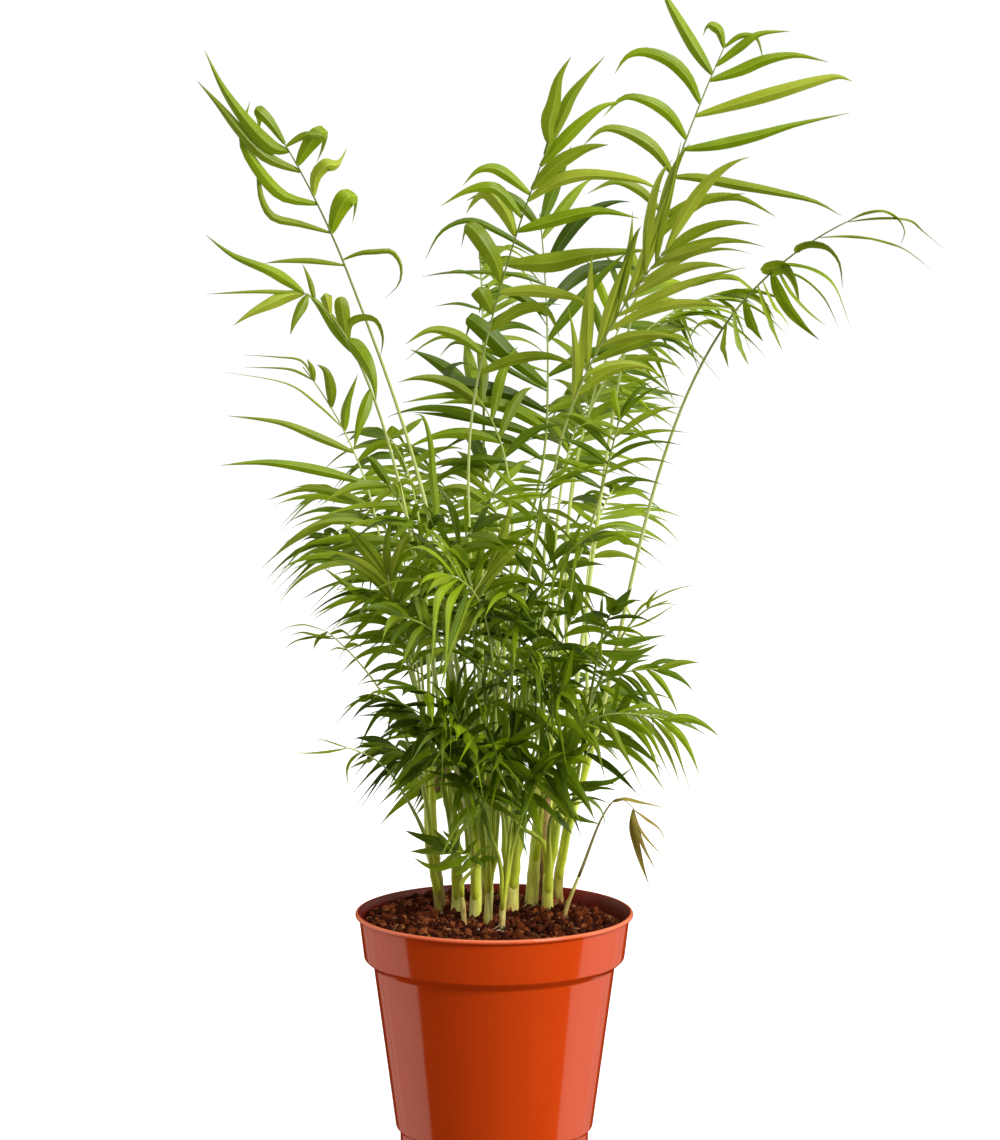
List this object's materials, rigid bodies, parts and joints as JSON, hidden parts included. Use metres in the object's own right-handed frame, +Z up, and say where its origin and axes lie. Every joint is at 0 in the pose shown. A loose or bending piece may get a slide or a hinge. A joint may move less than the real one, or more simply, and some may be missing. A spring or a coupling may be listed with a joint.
{
  "type": "parlour palm in a pot",
  "caption": "Bushy clump of a parlour palm, a small pinnate palm with slender green stems and arching feathery fronds, growing in a plain round plastic nursery pot filled with soil.",
  "frame": {"origin": "centre of the pot's flat underside, on the pot's axis", "axes": "+Z up along the pot's axis, -Y towards the front of the plant, +X to its right"},
  "size_m": [0.3103, 0.2569, 0.5043],
  "materials": {
    "pot": "satin moulded polypropylene",
    "soil": "rough moist potting compost",
    "stem": "smooth living stems",
    "frond": "satin leaflets",
    "dry_frond": "matte drying leaflets"
  },
  "bodies": {
    "root": {"frond_back_far": "frond", "frond_back_foot": "frond", "frond_back_high": "frond", "frond_back_left": "frond", "frond_back_low": "frond", "frond_back_mid": "frond", "frond_back_right": "frond", "frond_front_high": "frond", "frond_front_hub": "frond", "frond_front_left": "frond", "frond_front_mid": "frond", "frond_hub_high": "frond", "frond_hub_low": "frond", "frond_inner_young": "frond", "frond_left_bright": "frond", "frond_left_fan": "frond", "frond_left_foot": "frond", "frond_left_hanging": "frond", "frond_left_inner": "frond", "frond_left_low": "frond", "frond_left_shoulder": "frond", "frond_left_tall": "frond", "frond_left_tuft": "frond", "frond_left_wide": "frond", "frond_middle_a": "frond", "frond_middle_b": "frond", "frond_middle_back": "frond", "frond_middle_c": "frond", "frond_middle_d": "frond", "frond_middle_e": "frond", "frond_middle_f": "frond", "frond_middle_tall": "frond", "frond_right_arching": "frond", "frond_right_arcs": "frond", "frond_right_back": "frond", "frond_right_behind": "frond", "frond_right_dry": "dry_frond", "frond_right_edge": "frond", "frond_right_foot": "frond", "frond_right_low": "frond", "frond_right_tall": "frond", "frond_right_thin": "frond", "frond_right_tuft": "frond", "frond_young_spear": "frond", "pot": "pot", "soil": "soil", "stem_a": "stem", "stem_b": "stem", "stem_c": "stem", "stem_d": "stem", "stem_e": "stem", "stem_f": "stem", "stem_g": "stem", "stem_h": "stem", "stem_i": "stem", "stem_j": "stem", "stem_k": "stem", "stem_l": "stem", "stem_m": "stem"}
  },
  "joints": []
}
